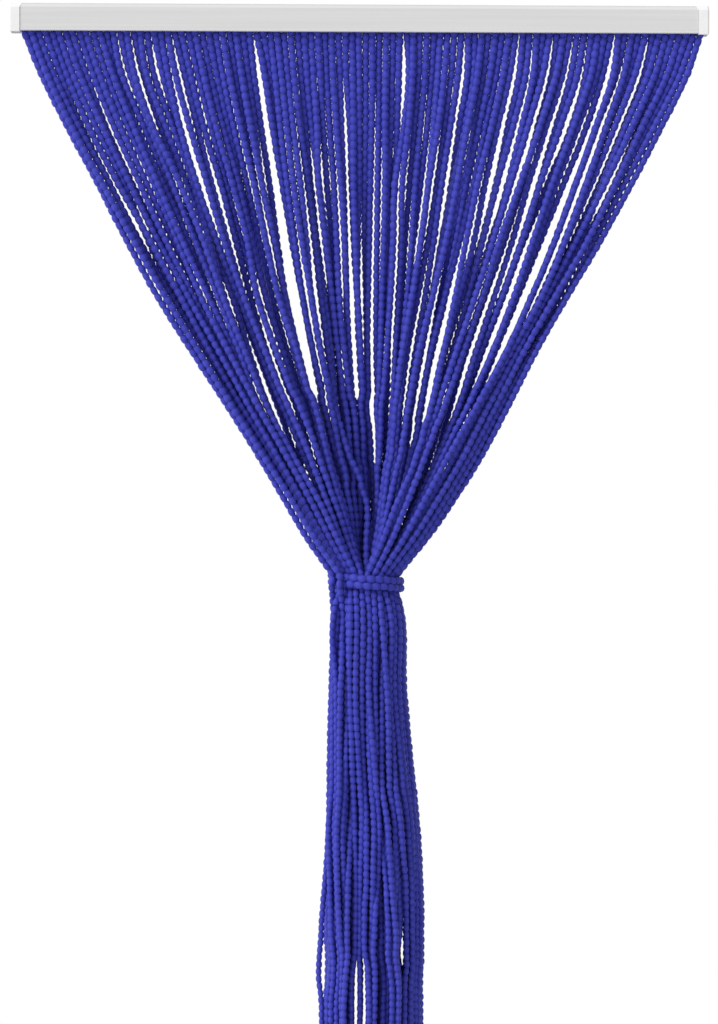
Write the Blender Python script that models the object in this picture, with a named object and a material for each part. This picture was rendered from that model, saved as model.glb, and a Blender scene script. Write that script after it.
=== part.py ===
# Fly screen curtain of beaded strands on a wall or lintel rail, gathered and tied half way down.
# Metres, +Z up. The origin is on the rail's top face, the front faces -Y, and the curtain hangs below.
import bpy
import bmesh
import numpy as np

# Rail
railWidth = 0.900
railHeight = 0.036
railFront = -0.016
railBack = 0.010
railWall = 0.0015
slopeRun = 0.0068
slopeDrop = 0.0062
slotWidth = 0.014

# End caps
capWidth = 0.0135
capEndWall = 0.0020
capProud = 0.0010
capBelow = 0.0012
capRound = 0.0020
tongueReach = 0.012
tongueFoot = -0.022
seatGap = 0.0003

# Hanger strip and the row of strands fused under it
stripThickness = 0.0030
stripMargin = 0.0005
strandCount = 100
rowPitch = 0.00881
rowMiddle = 0.004
rowDepth = -0.003
rowStagger = 0.0015
rootHeight = -0.0341
strandLength = 1.965
strandRadius = 0.0036
strandSides = 3
cellsPerSpan = 5

# Beads, and how close the strands lie
beadWidth = 0.0090
packedWidth = 0.0073
looseWidth = 0.0080
fallWidth = 0.0080
closeWidth = 0.0076

# Tie: a beaded strand wound round the bundle, deeper than it is wide by tieDeep, with two strands left
# outside it at the front left
tieHeight = -0.743
tieZoneHead = -0.736
tieZoneFoot = -0.7505
tieLean = 0.072
tieMiddle = 0.0124
tieRadius = 0.0452
tieDeep = 1.14
tieStrandWidth = 0.0074
tieSolidRadius = 0.0032
tieTurns = 1.97
tieStart = 100.0
tieStep = 0.0086
tieTilt = 0.0017
tieStepsPerTurn = 36
tieSides = 6
looseAngles = (215.0, 230.5)

# Rings of strands inside the tie: distance along a ring, distance between rings, turn and ruffle
ringPitch = 0.0074
ringStep = 0.0066
ringTurn = 0.05
ringRuffle = 0.0010

# How the strands fall between the rail and the tie
crossOver = 0.030
strayAside = 0.0022
strayDeep = 0.0030
fanStrayAside = 0.0030
fanStrayDeep = 0.0045

# Heights at which every strand has a section
knotHeights = (
    rootHeight, -0.085, -0.155, -0.230, -0.305, -0.380, -0.450, -0.520, -0.585, -0.640, -0.690,
    tieZoneHead, tieZoneFoot, -0.770, -0.880, -1.040, -1.240, -1.560, -1.999,
)
levelsPerSpan = 5
settleRounds = 220
quietRounds = 60

# Outer edges of the strands above the tie: height, left, right
fanRows = (
    (-0.085, -0.4167, 0.4280),
    (-0.155, -0.3830, 0.3931),
    (-0.230, -0.3416, 0.3532),
    (-0.305, -0.3016, 0.3132),
    (-0.380, -0.2602, 0.2720),
    (-0.450, -0.2171, 0.2323),
    (-0.520, -0.1723, 0.1954),
    (-0.585, -0.1301, 0.1604),
    (-0.640, -0.0958, 0.1272),
    (-0.690, -0.0655, 0.0938),
)

# Outer edges of the gathered strands below the tie: height, left, right, share of the tie's depth
fallRows = (
    (-0.7505, -0.0365, 0.0590, 1.00),
    (-0.770, -0.0370, 0.0600, 1.00),
    (-0.800, -0.0368, 0.0630, 0.98),
    (-0.880, -0.0378, 0.0660, 0.93),
    (-0.960, -0.0395, 0.0683, 0.88),
    (-1.040, -0.0412, 0.0815, 0.86),
    (-1.120, -0.0432, 0.0900, 0.85),
    (-1.200, -0.0462, 0.0935, 0.85),
    (-1.320, -0.0460, 0.0912, 0.86),
    (-1.999, -0.0540, 0.0980, 0.88),
)

# Slits between the strands that let daylight through. Place across the fan at the slit's head and at its
# foot (0 left edge, 1 right edge), height of head and foot, clear width
fanSlits = (
    (0.035, 0.035, -0.150, -0.280, 0.0010),
    (0.080, 0.075, -0.080, -0.220, 0.0016),
    (0.133, 0.134, -0.057, -0.085, 0.0020),
    (0.154, 0.156, -0.080, -0.154, 0.0028),
    (0.175, 0.174, -0.040, -0.110, 0.0028),
    (0.184, 0.184, -0.040, -0.095, 0.0022),
    (0.183, 0.169, -0.440, -0.552, 0.0040),
    (0.150, 0.140, -0.480, -0.535, 0.0040),
    (0.204, 0.196, -0.108, -0.275, 0.0040),
    (0.222, 0.220, -0.040, -0.172, 0.0026),
    (0.230, 0.224, -0.070, -0.358, 0.0036),
    (0.241, 0.241, -0.080, -0.174, 0.0022),
    (0.240, 0.236, -0.350, -0.498, 0.0040),
    (0.258, 0.256, -0.368, -0.406, 0.0036),
    (0.291, 0.292, -0.215, -0.380, 0.0020),
    (0.307, 0.305, -0.215, -0.355, 0.0038),
    (0.326, 0.318, -0.175, -0.240, 0.0040),
    (0.342, 0.332, -0.040, -0.515, 0.0145),
    (0.365, 0.367, -0.214, -0.450, 0.0034),
    (0.378, 0.380, -0.227, -0.292, 0.0040),
    (0.390, 0.389, -0.214, -0.425, 0.0050),
    (0.413, 0.416, -0.214, -0.362, 0.0036),
    (0.425, 0.425, -0.220, -0.280, 0.0040),
    (0.453, 0.455, -0.212, -0.372, 0.0030),
    (0.473, 0.475, -0.174, -0.502, 0.0070),
    (0.495, 0.499, -0.245, -0.405, 0.0034),
    (0.521, 0.527, -0.206, -0.600, 0.0050),
    (0.534, 0.537, -0.210, -0.308, 0.0036),
    (0.562, 0.565, -0.040, -0.156, 0.0046),
    (0.568, 0.583, -0.215, -0.476, 0.0026),
    (0.578, 0.581, -0.208, -0.262, 0.0034),
    (0.614, 0.615, -0.170, -0.304, 0.0036),
    (0.629, 0.630, -0.200, -0.300, 0.0036),
    (0.640, 0.631, -0.388, -0.524, 0.0036),
    (0.654, 0.658, -0.040, -0.340, 0.0040),
    (0.679, 0.671, -0.354, -0.566, 0.0036),
    (0.711, 0.709, -0.324, -0.540, 0.0066),
    (0.719, 0.726, -0.228, -0.336, 0.0042),
    (0.732, 0.740, -0.040, -0.304, 0.0056),
    (0.752, 0.763, -0.040, -0.268, 0.0052),
    (0.782, 0.786, -0.040, -0.224, 0.0042),
    (0.808, 0.808, -0.324, -0.518, 0.0036),
    (0.813, 0.825, -0.094, -0.368, 0.0058),
    (0.833, 0.844, -0.040, -0.218, 0.0050),
    (0.843, 0.857, -0.220, -0.446, 0.0038),
    (0.868, 0.868, -0.138, -0.206, 0.0030),
    (0.872, 0.895, -0.042, -0.424, 0.0100),
    (0.894, 0.919, -0.116, -0.392, 0.0074),
    (0.922, 0.929, -0.045, -0.182, 0.0036),
    (0.929, 0.938, -0.204, -0.298, 0.0030),
    (0.955, 0.962, -0.175, -0.258, 0.0034),
)

# The same below the tie, with the share of the strands that hang to the left of each
footSlits = (
    (0.046, 0.052, -1.205, -1.285, 0.0026, 0.042),
    (0.354, 0.358, -1.200, -1.620, 0.0066, 0.375),
    (0.414, 0.424, -1.190, -1.620, 0.0070, 0.430),
    (0.776, 0.778, -1.190, -1.260, 0.0034, 0.800),
)
slitSlack = 0.0006
slitBeadWidth = 0.0078
slitWidest = 0.72

# Furrows on the front of the gathered strands: place across, height of head and foot, width
furrows = (
    (0.215, -0.775, -2.000, 0.0010),
    (0.400, -0.775, -1.220, 0.0016),
    (0.520, -0.780, -2.000, 0.0008),
    (0.640, -0.800, -2.000, 0.0016),
    (0.745, -0.775, -2.000, 0.0008),
    (0.880, -0.850, -2.000, 0.0008),
)
furrowDepth = 0.010

hollowDepth = 0.022

# Below the tie the strands press outwards against the bundle's outline: move a round, and its squareness
skinPull = 0.0008
skinRound = 2.4

# Hollow between the strands drawn to the left and to the right over the front of the tie: height, left and
# right wall, and how far back the strands between the walls are kept
hollowRows = (
    (-0.520, -0.0050, -0.0050, 0.000),
    (-0.585, -0.0190, 0.0150, 0.004),
    (-0.640, -0.0160, 0.0180, 0.012),
    (-0.690, -0.0060, 0.0125, 0.020),
    (-0.736, 0.0030, 0.0060, 0.010),
)

# Strands that hang slack in front of the others: strand, height of head and foot, bow aside, bow forward
slackStrands = (
    (27, -0.500, -0.700, -0.017, 0.018),
)

# Colours, roughness and metallic value of the materials
paints = {
    "rail_paint": ((0.730, 0.730, 0.728, 1), 0.45, 0.0),
    "cap_plastic": ((0.880, 0.880, 0.880, 1), 0.50, 0.0),
    "strand_blue": ((0.051, 0.061, 0.413, 1), 0.85, 0.0),
}


def clearScene():
    for thing in list(bpy.data.objects):
        bpy.data.objects.remove(thing, do_unlink=True)


def makePaint(name):
    colour, roughness, metallic = paints[name]
    paint = bpy.data.materials.new(name)
    paint.use_nodes = True
    shader = paint.node_tree.nodes["Principled BSDF"]
    shader.inputs["Base Color"].default_value = colour
    shader.inputs["Roughness"].default_value = roughness
    shader.inputs["Metallic"].default_value = metallic
    paint.diffuse_color = colour
    return paint


def addObject(name, vertices, faces, paint):
    mesh = bpy.data.meshes.new(name)
    mesh.from_pydata([tuple(v) for v in vertices], [], [tuple(f) for f in faces])
    shape = bmesh.new()
    shape.from_mesh(mesh)
    bmesh.ops.recalc_face_normals(shape, faces=shape.faces)
    shape.to_mesh(mesh)
    shape.free()
    mesh.materials.append(paint)
    thing = bpy.data.objects.new(name, mesh)
    bpy.context.scene.collection.objects.link(thing)
    return thing


# A prism along X between two places, from an outline in depth and height
def addExtrusion(name, outline, start, end, paint):
    count = len(outline)
    vertices = [(x, y, z) for x in (start, end) for y, z in outline]
    sides = [(i, (i + 1) % count, (i + 1) % count + count, i + count) for i in range(count)]
    ends = [tuple(range(count)), tuple(range(count, 2 * count))]
    return addObject(name, vertices, sides + ends, paint)


def addBoolean(thing, other, operation):
    cut = thing.modifiers.new(operation.lower(), "BOOLEAN")
    cut.operation = operation
    cut.object = other
    other.hide_render = True
    other.display_type = "WIRE"


# The channel's closed outer edge, as points (depth, height), grown by a margin at the front and the foot
def outerOutline(proud, below):
    front = railFront - proud
    return [
        (railBack, -railHeight - below),
        (railBack, 0.0),
        (railFront + slopeRun, 0.0),
        (front, -slopeDrop),
        (front, -railHeight - below),
    ]


# The space inside the channel, open at the foot through the slot
def innerOutline(below):
    middle = (railFront + railBack) / 2
    back = railBack - railWall
    front = railFront + railWall
    floor = -railHeight + railWall
    foot = -railHeight - below
    return [
        (back, floor),
        (back, -railWall),
        (railFront + slopeRun, -railWall),
        (front, -slopeDrop),
        (front, floor),
        (middle - slotWidth / 2, floor),
        (middle - slotWidth / 2, foot),
        (middle + slotWidth / 2, foot),
        (middle + slotWidth / 2, floor),
    ]


# The channel's wall: its outer edge, then back along the inner edge
def channelOutline(proud, below):
    outer = outerOutline(proud, below)
    inner = innerOutline(below)
    return outer + inner[6::-1] + inner[:6:-1]


def buildRail(paint):
    half = railWidth / 2 - capWidth - seatGap
    return addExtrusion("rail", channelOutline(0.0, 0.0), -half, half, paint)


# A shell in the channel's shape with an end wall and a tongue that plugs into the rail
def buildEndCap(name, side, paint):
    end = side * railWidth / 2
    mouth = end - side * capWidth
    cap = addExtrusion(name, outerOutline(capProud, capBelow), end, mouth, paint)
    rounding = cap.modifiers.new("rounded end", "BEVEL")
    rounding.width = capRound
    rounding.segments = 3
    rounding.limit_method = "WEIGHT"
    weights = cap.data.attributes.new("bevel_weight_edge", "FLOAT", "EDGE")
    for edge in cap.data.edges:
        ends = [cap.data.vertices[v].co for v in edge.vertices]
        atEnd = all(abs(p.x - end) < 1e-6 for p in ends)
        flush = all(p.y > railBack - 1e-6 for p in ends) or all(p.z > -1e-6 for p in ends)
        weights.data[edge.index].value = 1.0 if atEnd and not flush else 0.0
    hollow = addExtrusion(name + "_hollow", innerOutline(capBelow + 0.001), end - side * capEndWall,
                          mouth - side * 0.001, paint)
    addBoolean(cap, hollow, "DIFFERENCE")
    plugFront = railFront + slopeRun + 0.001
    plugBack = railBack - railWall - seatGap
    plug = [(plugFront, tongueFoot), (plugFront, -railWall - seatGap),
            (plugBack, -railWall - seatGap), (plugBack, tongueFoot)]
    tongue = addExtrusion(name + "_tongue", plug, end - side * capEndWall / 2,
                          mouth - side * tongueReach, paint)
    addBoolean(cap, tongue, "UNION")
    return cap


# Parts strands that lie too close on a level: each pair moves apart along the line between them, by half
# of what they lack. A sloping strand is wider across by one over the cosine of its slope.
def pushApart(places, spacing, slope):
    between = places[:, :, None] - places[:, None]
    cosine = 1 / np.sqrt(1 + slope ** 2)
    across = between[..., 0] * 0.5 * (cosine[:, :, None] + cosine[:, None])
    deep = between[..., 1]
    apart = np.hypot(across, deep) + np.eye(places.shape[1])
    share = np.clip(spacing[:, None, None] - apart, 0, None) / apart
    return 0.5 * np.stack([(share * across).sum(2) / cosine, (share * deep).sum(2)], -1)


# Keeps the strands inside the tie's oval, and the loose strands outside it
def holdInTie(places, loose):
    inner = tieRadius - tieStrandWidth / 2 - packedWidth / 2
    middle = np.array([tieMiddle, rowDepth])
    off = places - middle
    reach = np.hypot(off[:, 0], off[:, 1] / tieDeep)
    held = middle + off * np.minimum(1, inner / reach)[:, None]
    held[:len(loose)] = loose
    return held


# Places of the strands inside the tie: one ring of strands within another, ruffled a little, settled again
# and deepened
def packInTie(count):
    inner = tieRadius - tieStrandWidth / 2 - packedWidth / 2
    rings = []
    left = count
    while left > 0:
        reach = inner - ringStep * len(rings)
        ring = min(left, int(2 * np.pi * reach / ringPitch))
        angle = 2 * np.pi * (np.arange(ring) + 0.5 * (len(rings) % 2)) / ring + ringTurn
        rings.append(reach * np.stack([np.cos(angle), np.sin(angle)], 1))
        left -= ring
    number = np.arange(count)
    spots = np.concatenate(rings)
    spots = spots + ringRuffle * np.stack([np.sin(12.9898 * number), np.sin(78.233 * number + 1.0)], 1)
    spacing = np.array([packedWidth])
    for turn in range(200):
        spots = spots + 0.8 * pushApart(spots[None], spacing, np.zeros((1, count)))[0]
        spots = spots * np.minimum(1, inner / np.hypot(spots[:, 0], spots[:, 1]))[:, None]
    return spots * np.array([1.0, tieDeep])


# Which strand goes where in the tie: from left to right, with the outer strands drawn over the front
def orderInTie():
    angles = np.radians(looseAngles)
    reach = tieRadius + tieStrandWidth / 2 + beadWidth / 2
    loose = reach * np.stack([np.cos(angles), tieDeep * np.sin(angles)], 1)
    inside = packInTie(strandCount - len(loose))
    front = np.clip(0.5 - 0.5 * inside[:, 1] / tieRadius, 0, 1)
    rank = inside[:, 0] + np.sign(inside[:, 0]) * crossOver * front
    inside = inside[np.argsort(rank, kind="stable")]
    return np.concatenate([loose, inside]) + np.array([tieMiddle, rowDepth])


# Paths with nothing in their way. Above the tie each strand leaves the straight line from its root to the tie
# by a share of what the outer edges in fanRows do, and below it the bundle widens as in fallRows
def freePaths(knots, roots, ties):
    down = np.clip((rootHeight - knots) / (rootHeight - tieZoneHead), 0, 1)
    swing = np.linspace(-1, 1, strandCount)
    number = np.arange(strandCount)
    edges = np.array([(rootHeight, roots[0, 0] - beadWidth / 2, roots[-1, 0] + beadWidth / 2), *fanRows,
                      (tieZoneHead, ties[:, 0].min() - beadWidth / 2, ties[:, 0].max() + beadWidth / 2)])[::-1]
    fanLeft = np.interp(knots, edges[:, 0], edges[:, 1]) + beadWidth / 2
    fanRight = np.interp(knots, edges[:, 0], edges[:, 2]) - beadWidth / 2
    straightLeft = roots[0, 0] * (1 - down) + ties[:, 0].min() * down
    straightRight = roots[-1, 0] * (1 - down) + ties[:, 0].max() * down
    fan = roots[None] * (1 - down)[:, None, None] + ties[None] * down[:, None, None]
    fan[..., 0] += (fanLeft - straightLeft)[:, None] * np.clip(-swing, 0, 1)
    fan[..., 0] += (fanRight - straightRight)[:, None] * np.clip(swing, 0, 1)
    roam = np.sin(np.pi * down)[:, None]
    fan[..., 0] += fanStrayAside * roam * np.sin(11.0 * down[:, None] + 2.399 * number)
    fan[..., 1] += fanStrayDeep * roam * np.sin(8.0 * down[:, None] + 1.7 * number + 1.0)
    for strand, head, foot, aside, forward in slackStrands:
        bow = np.sin(np.pi * np.clip((knots - head) / (foot - head), 0, 1)) ** 2
        fan[:, strand] += bow[:, None] * np.array([aside, -forward])
    rows = np.array(fallRows)[::-1]
    low = np.interp(knots, rows[:, 0], rows[:, 1]) + beadWidth / 2
    high = np.interp(knots, rows[:, 0], rows[:, 2]) - beadWidth / 2
    depth = np.interp(knots, rows[:, 0], rows[:, 3])
    share = (ties[:, 0] - ties[:, 0].min()) / np.ptp(ties[:, 0])
    drop = np.clip(tieZoneFoot - knots, 0, None)[:, None]
    stray = np.clip(drop / 0.25, 0, 1)
    fall = np.empty(fan.shape)
    fall[..., 0] = low[:, None] + (high - low)[:, None] * share
    fall[..., 0] += strayAside * stray * np.sin(4.0 * drop + 2.399 * number)
    fall[..., 1] = rowDepth + (ties[:, 1] - rowDepth) * depth[:, None]
    fall[..., 1] += strayDeep * stray * np.sin(3.0 * drop + 1.7 * number + 1.0)
    inFan = knots > tieZoneFoot - 1e-6
    paths = np.where(inFan[:, None, None], fan, fall)
    return paths, np.where(inFan, fanLeft, low), np.where(inFan, fanRight, high), share, depth


# Each slit's middle line on every level, its clear width there, and whether it is open there. The width
# grows from 0.3 of its full size at the head to all of it at slitWidest, and closes again to the foot
def slitLines(slits, heights, left, right):
    rows = np.array(slits)
    down = (heights[None] - rows[:, 2:3]) / (rows[:, 3:4] - rows[:, 2:3])
    live = (down > -0.12) & (down < 1.12)
    down = np.clip(down, 0, 1)
    place = rows[:, 0:1] + (rows[:, 1:2] - rows[:, 0:1]) * down
    line = left - beadWidth / 2 + place * (right - left + beadWidth)
    growing = 0.30 + 0.70 * down / slitWidest
    closing = 0.35 + 0.65 * (1 - down) / (1 - slitWidest)
    clear = rows[:, 4:5] * np.minimum(growing, closing)
    return line, clear, live


# Sideways moves that clear the slits: a strand keeps to its own side of each slit
def openSlits(places, order, parts, lines):
    move = np.zeros(places.shape[:2])
    for part, line, clear, live in zip(parts, *lines):
        side = np.where(order < part, -1.0, 1.0)
        off = side * (places[..., 0] - line[:, None])
        need = np.clip(slitBeadWidth / 2 + clear[:, None] / 2 - off, 0, 0.012)
        move += 0.6 * side * need * live[:, None]
    return move


# Sideways moves that bring neighbours together where no slit parts them
def closeGaps(places, slope, lines):
    line, clear, live = lines
    order = np.argsort(places[..., 0], axis=1, kind="stable")
    x = np.take_along_axis(places[..., 0], order, 1)
    low, high = x[:, :-1], x[:, 1:]
    within = (line[:, :, None] > low - 0.001) & (line[:, :, None] < high + 0.001) & live[:, :, None]
    tilt = np.sqrt(1 + np.take_along_axis(slope, order, 1)[:, :-1] ** 2)
    slitRoom = slitBeadWidth + slitSlack + (within * clear[:, :, None]).max(0)
    excess = np.clip(high - low - np.where(within.any(0), slitRoom, closeWidth * tilt), 0, 0.006)
    ordered = np.zeros(x.shape)
    ordered[:, :-1] += 0.5 * excess
    ordered[:, 1:] -= 0.5 * excess
    move = np.zeros(x.shape)
    np.put_along_axis(move, order, ordered, 1)
    return 0.25 * move


# Sideways moves that part the front strands along the furrows
def openFurrows(places, heights, left, right):
    move = np.zeros(places.shape[:2])
    front = np.clip((rowDepth - furrowDepth - places[..., 1]) / furrowDepth, 0, 1)
    for place, head, foot, clear in furrows:
        live = np.clip((head - heights) / 0.06, 0, 1) * (heights > foot)
        off = places[..., 0] - (left + place * (right - left))[:, None]
        need = np.clip(beadWidth / 2 + clear / 2 * live[:, None] - np.abs(off), 0, None)
        move += 0.4 * np.where(off < 0, -1, 1) * need * front * (live > 0)[:, None]
    return move


# Moves that keep the front of the fan hollow above the tie: strands between the walls go aside where they are
# near a wall and back where they aren't
def openHollow(places, heights):
    rows = np.array(hollowRows)[::-1]
    left, right, back = (np.interp(heights, rows[:, 0], rows[:, column])[:, None] for column in (1, 2, 3))
    live = ((heights < rows[-1, 0]) & (heights > rows[0, 0] - 1e-6))[:, None]
    inside = np.minimum(places[..., 0] - left, right - places[..., 0])
    need = np.clip(rowDepth - hollowDepth + back - places[..., 1], 0, 0.010) * (inside > 0) * live
    side = np.where(places[..., 0] < (left + right) / 2, -1.0, 1.0)
    return np.stack([0.5 * side * np.minimum(inside, 0.004) * (need > 0), 0.5 * need], -1)


# Moves below the tie: strands in the front third go forwards and strands in the back third backwards, as far
# as the bundle's outline, a flattened oval, and what is past it comes back towards the middle
def pressOut(places, heights, left, right, depth):
    middle, half = (left + right)[:, None] / 2, (right - left)[:, None] / 2
    deep = (tieRadius - tieStrandWidth / 2 - packedWidth / 2) * tieDeep * depth[:, None]
    aside, off = places[..., 0] - middle, places[..., 1] - rowDepth
    across = np.clip(np.abs(aside) / half, 0, 1)
    reach = (across ** skinRound + (np.abs(off) / deep) ** skinRound) ** (1 / skinRound)
    back = 1 / np.maximum(reach, 1) - 1
    room = np.clip(deep * (1 - across ** skinRound) ** (1 / skinRound) - np.abs(off), 0, skinPull)
    outwards = np.sign(off) * room * (np.abs(off) > deep / 3)
    below = (heights < tieZoneFoot - 1e-6)[:, None, None]
    return np.stack([aside * back, off * back + outwards], -1) * below


# The strands' settled paths: places (across, deep) at every knot height. Rounds of small moves ease each
# path towards its free one while the strands part, clear the slits and close up elsewhere. In the quiet
# rounds at the end they only part, and keep clear of the slits below the tie
def settleStrands():
    knots = np.array(knotHeights)
    row = rowMiddle + rowPitch * (np.arange(strandCount) - (strandCount - 1) / 2)
    roots = np.stack([row, rowDepth + rowStagger * (-1.0) ** np.arange(strandCount)], 1)
    ties = orderInTie()
    loose = ties[:len(looseAngles)]
    free, left, right, share, depth = freePaths(knots, roots, ties)
    spans = len(knots) - 1
    at = np.arange(spans * levelsPerSpan + 1) / levelsPerSpan
    weight = np.clip(1 - np.abs(at[:, None] - np.arange(spans + 1)), 0, 1)
    heights, left, right, depth = weight @ knots, weight @ left, weight @ right, weight @ depth
    slope = weight @ (np.gradient(free[..., 0], axis=0) / np.gradient(knots)[:, None])
    fromTie = np.clip(np.maximum(heights - tieZoneHead, tieZoneFoot - heights), 0, None)
    roomy = np.where(heights > tieZoneHead, looseWidth, fallWidth)
    spacing = packedWidth + (roomy - packedWidth) * np.clip(fromTie / 0.10, 0, 1)
    spacing = np.minimum(spacing, np.interp(rootHeight - heights, [0, 0.05], [packedWidth, looseWidth]))
    inFan = (heights > tieZoneHead)[:, None]
    order = np.linspace(0, 1, strandCount)
    fanLines = slitLines(fanSlits, heights, left, right)
    footLines = slitLines(footSlits, heights, left, right)
    fanParts = [slit[0] for slit in fanSlits]
    footParts = [slit[5] for slit in footSlits]
    above, below = np.diff(knots)[:-1], np.diff(knots)[1:]
    nearer = (below / (above + below))[:, None, None]
    tieKnots = [knotHeights.index(tieZoneHead), knotHeights.index(tieZoneFoot)]
    places = free.copy()
    for turn in range(settleRounds):
        easing = turn < settleRounds - quietRounds
        if easing:
            off = places - free
            straight = off.copy()
            straight[1:-1] = off[:-2] * nearer + off[2:] * (1 - nearer)
            straight[-1] = off[-2]
            ease = (0.30 if turn < settleRounds / 2 else 0.10) * (straight - off)
            ease[tieKnots] = -0.30 * off[tieKnots]
            places = places + ease - np.array([0.03, 0.01]) * off
        level = np.einsum("lk,ksc->lsc", weight, places)
        move = pushApart(level, spacing, slope)
        move[..., 0] += np.where(inFan, 0.0, openSlits(level, share, footParts, footLines))
        if easing:
            fanMove = openSlits(level, order, fanParts, fanLines) + closeGaps(level, slope, fanLines)
            fallMove = closeGaps(level, slope, footLines) + openFurrows(level, heights, left, right)
            move[..., 0] += np.where(inFan, fanMove, fallMove)
            move += openHollow(level, heights)
            move += pressOut(level, heights, left, right, depth)
        moved = (np.abs(move) > 1e-7).astype(float)
        total = np.einsum("lk,lsc->ksc", weight, move)
        places = places + 1.3 * total / np.maximum(np.einsum("lk,lsc->ksc", weight, moved), 1.0)
        places[0] = roots
        middle = holdInTie(places[tieKnots].mean(0), loose)
        places[tieKnots] = middle
    return knots, places


# Height of each strand's foot: every strand is strandLength long, so a sloping one ends higher
def footHeights(knots, places):
    steps = np.diff(places, axis=0)
    drops = -np.diff(knots)[:, None]
    runs = np.sqrt((steps ** 2).sum(2) + drops ** 2)
    before = runs[:-1].sum(0)
    share = (strandLength - before) / runs[-1]
    return knots[-2] + share * (knots[-1] - knots[-2]), share


# The corners of every strand's sections: three-sided, flat side to the front, widened with the slope. In the
# tie they lie lower to the right, as its turns do
def strandSections(knots, places):
    feet, share = footHeights(knots, places)
    heights = np.repeat(knots[:, None], strandCount, 1)
    heights[-1] = feet
    tied = [knotHeights.index(tieZoneHead), knotHeights.index(tieZoneFoot)]
    heights[tied] -= tieLean * (places[tied, :, 0] - tieMiddle)
    centres = places.copy()
    centres[-1] = places[-2] + share[:, None] * (places[-1] - places[-2])
    rise = np.gradient(centres[..., 0], axis=0) / np.gradient(heights, axis=0)
    tilt = np.sqrt(1 + rise ** 2)
    tilt[0] = 1.0
    corner = np.radians(-90 - 180 / strandSides + 360 / strandSides * np.arange(strandSides))
    sections = np.empty((len(knots), strandCount, strandSides, 3))
    sections[..., 0] = centres[..., 0, None] + strandRadius * tilt[..., None] * np.cos(corner)
    sections[..., 1] = centres[..., 1, None] + strandRadius * np.sin(corner)
    sections[..., 2] = heights[..., None]
    return sections


# The hanger strip with the strands growing out of its underside, one cell of the strip for each strand
def buildStrandCurtain(knots, places, paint):
    sections = strandSections(knots, places)
    levels = len(knots)
    front = railFront + railWall + stripMargin
    back = railBack - railWall - stripMargin
    edges = rowMiddle + rowPitch * (np.arange(strandCount + 1) - strandCount / 2)
    rims = edges[::cellsPerSpan]
    top = rootHeight + stripThickness
    vertices = list(sections.reshape(-1, 3))
    cellFront = len(vertices)
    vertices += [(x, front, rootHeight) for x in edges]
    cellBack = len(vertices)
    vertices += [(x, back, rootHeight) for x in edges]
    rimFront = len(vertices)
    vertices += [(x, front, top) for x in rims]
    rimBack = len(vertices)
    vertices += [(x, back, top) for x in rims]

    def corner(level, strand, side):
        return (level * strandCount + strand) * strandSides + side % strandSides

    faces = []
    for strand in range(strandCount):
        frontLeft, frontRight = cellFront + strand, cellFront + strand + 1
        backLeft, backRight = cellBack + strand, cellBack + strand + 1
        left, right, rear = (corner(0, strand, side) for side in range(3))
        faces += [(frontLeft, frontRight, right), (frontLeft, right, left), (frontRight, backRight, right),
                  (backRight, rear, right), (backRight, backLeft, rear), (backLeft, left, rear),
                  (backLeft, frontLeft, left)]
        for level in range(levels - 1):
            for side in range(strandSides):
                faces.append((corner(level, strand, side), corner(level, strand, side + 1),
                              corner(level + 1, strand, side + 1), corner(level + 1, strand, side)))
        faces.append(tuple(corner(levels - 1, strand, side) for side in range(strandSides)))
    spans = len(rims) - 1
    for span in range(spans):
        for cells, rim in ((cellFront, rimFront), (cellBack, rimBack)):
            first = cells + span * cellsPerSpan
            for cell in range(cellsPerSpan):
                faces.append((rim + span, first + cell, first + cell + 1))
            faces.append((rim + span, first + cellsPerSpan, rim + span + 1))
        faces.append((rimFront + span, rimFront + span + 1, rimBack + span + 1, rimBack + span))
    for place, rim in ((0, 0), (strandCount, spans)):
        faces.append((cellFront + place, cellBack + place, rimBack + rim, rimFront + rim))
    curtain = addObject("strand_curtain", vertices, faces, paint)
    triangulate(curtain)
    return curtain


def triangulate(thing):
    shape = bmesh.new()
    shape.from_mesh(thing.data)
    bmesh.ops.triangulate(shape, faces=shape.faces)
    bmesh.ops.recalc_face_normals(shape, faces=shape.faces)
    shape.to_mesh(thing.data)
    shape.free()


# Middle line of the tie: nearly two rounds that step down by one strand's width a turn, lower at the right
def tieLine():
    steps = round(tieTurns * tieStepsPerTurn)
    turn = np.linspace(0, tieTurns, steps + 1)
    angle = np.radians(tieStart) + 2 * np.pi * turn
    x = tieMiddle + tieRadius * np.cos(angle)
    y = rowDepth + tieRadius * tieDeep * np.sin(angle)
    z = tieHeight + tieStep * (tieTurns / 2 - turn) - tieTilt * np.cos(angle)
    return np.stack([x, y, z], 1), angle


def buildTie(paint):
    line, angle = tieLine()
    side = 2 * np.pi * (np.arange(tieSides) + 0.5) / tieSides
    out = tieSolidRadius * np.cos(side)
    up = tieSolidRadius * np.sin(side)
    rings = np.repeat(line[:, None], tieSides, 1)
    rings[..., 0] += out * np.cos(angle)[:, None]
    rings[..., 1] += out * np.sin(angle)[:, None]
    rings[..., 2] += up
    count = len(line)
    faces = [(r * tieSides + s, r * tieSides + (s + 1) % tieSides,
              (r + 1) * tieSides + (s + 1) % tieSides, (r + 1) * tieSides + s)
             for r in range(count - 1) for s in range(tieSides)]
    faces += [tuple(range(tieSides)), tuple(range((count - 1) * tieSides, count * tieSides))]
    return addObject("tie", rings.reshape(-1, 3), faces, paint)


def buildCurtain():
    clearScene()
    railPaint = makePaint("rail_paint")
    capPlastic = makePaint("cap_plastic")
    strandBlue = makePaint("strand_blue")
    buildRail(railPaint)
    buildEndCap("end_cap_left", -1, capPlastic)
    buildEndCap("end_cap_right", 1, capPlastic)
    knots, places = settleStrands()
    buildStrandCurtain(knots, places, strandBlue)
    buildTie(strandBlue)


buildCurtain()
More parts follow.
